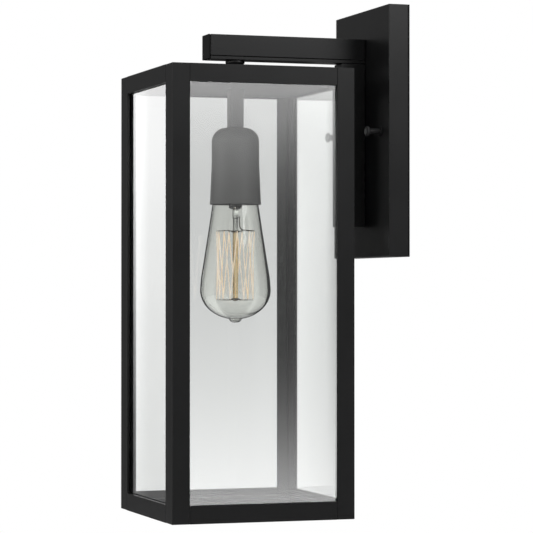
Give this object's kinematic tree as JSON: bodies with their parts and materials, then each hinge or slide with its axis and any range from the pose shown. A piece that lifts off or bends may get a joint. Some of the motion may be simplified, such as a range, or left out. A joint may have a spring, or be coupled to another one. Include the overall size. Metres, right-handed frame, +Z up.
{
  "type": "outdoor wall lantern",
  "caption": "Square glazed wall lantern hung from a slim bracket arm, with a tapered filament bulb in a black cup socket.",
  "frame": {"origin": "on the wall plane, at the centre of the backplate and of the mounting strap's back face", "axes": "+Z up; +Y into the wall, so the lantern hangs on the -Y side; +X to the right of someone who faces the wall"},
  "size_m": [0.1524, 0.2059, 0.4164],
  "materials": {
    "black_paint": "satin powder coat",
    "black_paint_aluminium": "satin black powder coat",
    "dark_steel": "dark plated",
    "zinc_steel": "zinc plated",
    "green_screw": "green passivated",
    "pane_glass": "clear",
    "bulb_glass": "clear",
    "black_glass": "gloss",
    "brass": "bright",
    "tinned": "soft solder",
    "porcelain": "gloss",
    "rubber": "matt",
    "filament": "warm",
    "white_sleeve": "matt",
    "black_sleeve": "matt"
  },
  "bodies": {
    "bracket": {"backplate": "black_paint", "wall_gasket": "rubber", "mounting_strap": "zinc_steel", "ground_screw": "green_screw", "stud_left": "zinc_steel", "stud_right": "zinc_steel", "bracket_upright": "black_paint", "arm_channel": "black_paint", "arm_cover": "black_paint", "arm_end_cap": "black_paint", "wire_live": "black_sleeve", "wire_neutral": "white_sleeve", "collar": "black_paint", "threaded_nipple": "zinc_steel", "arm_nut": "zinc_steel", "roof_nut": "zinc_steel", "ceiling_nut": "zinc_steel"},
    "washer_left": {"knob_washer_left": "rubber"},
    "washer_right": {"knob_washer_right": "rubber"},
    "knob_left": {"knob_left": "black_paint"},
    "knob_right": {"knob_right": "black_paint"},
    "cage": {"roof_plate": "black_paint_aluminium", "ceiling_plate": "black_paint_aluminium", "post_front_left": "black_paint_aluminium", "post_front_right": "black_paint_aluminium", "post_rear_left": "black_paint_aluminium", "post_rear_right": "black_paint_aluminium", "top_rail_front": "black_paint_aluminium", "top_rail_right": "black_paint_aluminium", "top_rail_rear": "black_paint_aluminium", "top_rail_left": "black_paint_aluminium", "bottom_rail_front": "black_paint_aluminium", "bottom_rail_right": "black_paint_aluminium", "bottom_rail_rear": "black_paint_aluminium", "bottom_rail_left": "black_paint_aluminium", "glass_front": "pane_glass", "glass_right": "pane_glass", "glass_rear": "pane_glass", "glass_left": "pane_glass", "inner_stem": "black_paint", "socket_nipple": "zinc_steel", "socket_nut": "zinc_steel", "socket_cup": "black_paint", "socket_body": "porcelain", "socket_screw_shell": "brass", "socket_centre_contact": "brass"},
    "floor": {"floor_plate": "black_paint_aluminium"},
    "floor_screw_left": {"floor_screw_left": "dark_steel"},
    "floor_screw_right": {"floor_screw_right": "dark_steel"},
    "bulb_tip": {"bulb_tip_contact": "tinned"},
    "bulb": {"bulb_glass": "bulb_glass", "bulb_cap": "brass", "bulb_cap_insulator": "black_glass", "filament_glass_stem": "bulb_glass", "filament": "filament", "filament_support_upper": "dark_steel", "filament_support_lower": "dark_steel", "lead_in_wire_a": "tinned", "lead_in_wire_b": "tinned"}
  },
  "joints": [
    {"name": "cage_swivel", "type": "hinge", "parent": "bracket", "child": "cage", "pos_m": [0, -0.1297, 0.05], "axis": [0, 0, 1], "range_deg": [-5, 5]},
    {"name": "bulb_travel", "type": "slide", "parent": "cage", "child": "bulb_tip", "axis": [0, 0, -1], "range_m": [0, 0.011]},
    {"name": "bulb_screw", "type": "hinge", "parent": "bulb_tip", "child": "bulb", "pos_m": [0, -0.1297, -0.03], "axis": [0, 0, -1], "range_deg": [0, 1080]},
    {"name": "floor_drop", "type": "slide", "parent": "cage", "child": "floor", "axis": [0, 0, -1], "range_m": [0, 0.06]},
    {"name": "floor_screw_left_turn", "type": "hinge", "parent": "floor", "child": "floor_screw_left", "pos_m": [-0.062, -0.1297, -0.31], "axis": [0, 0, 1], "continuous": true},
    {"name": "floor_screw_right_turn", "type": "hinge", "parent": "floor", "child": "floor_screw_right", "pos_m": [0.062, -0.1297, -0.31], "axis": [0, 0, 1], "continuous": true},
    {"name": "knob_left_travel", "type": "slide", "parent": "bracket", "child": "washer_left", "axis": [0, -1, 0], "range_m": [0, 0.00635]},
    {"name": "knob_left_turn", "type": "hinge", "parent": "washer_left", "child": "knob_left", "pos_m": [-0.04445, -0.025, 0], "axis": [0, -1, 0], "range_deg": [0, 2880]},
    {"name": "knob_right_travel", "type": "slide", "parent": "bracket", "child": "washer_right", "axis": [0, -1, 0], "range_m": [0, 0.00635]},
    {"name": "knob_right_turn", "type": "hinge", "parent": "washer_right", "child": "knob_right", "pos_m": [0.04445, -0.025, 0], "axis": [0, -1, 0], "range_deg": [0, 2880]}
  ],
  "couplings": [
    {"joint": "bulb_travel", "follows": "bulb_screw", "m_per_rad": 0.00057754},
    {"joint": "knob_left_turn", "follows": "knob_left_travel", "rad_per_m": 7913.3},
    {"joint": "knob_right_turn", "follows": "knob_right_travel", "rad_per_m": 7913.3}
  ]
}
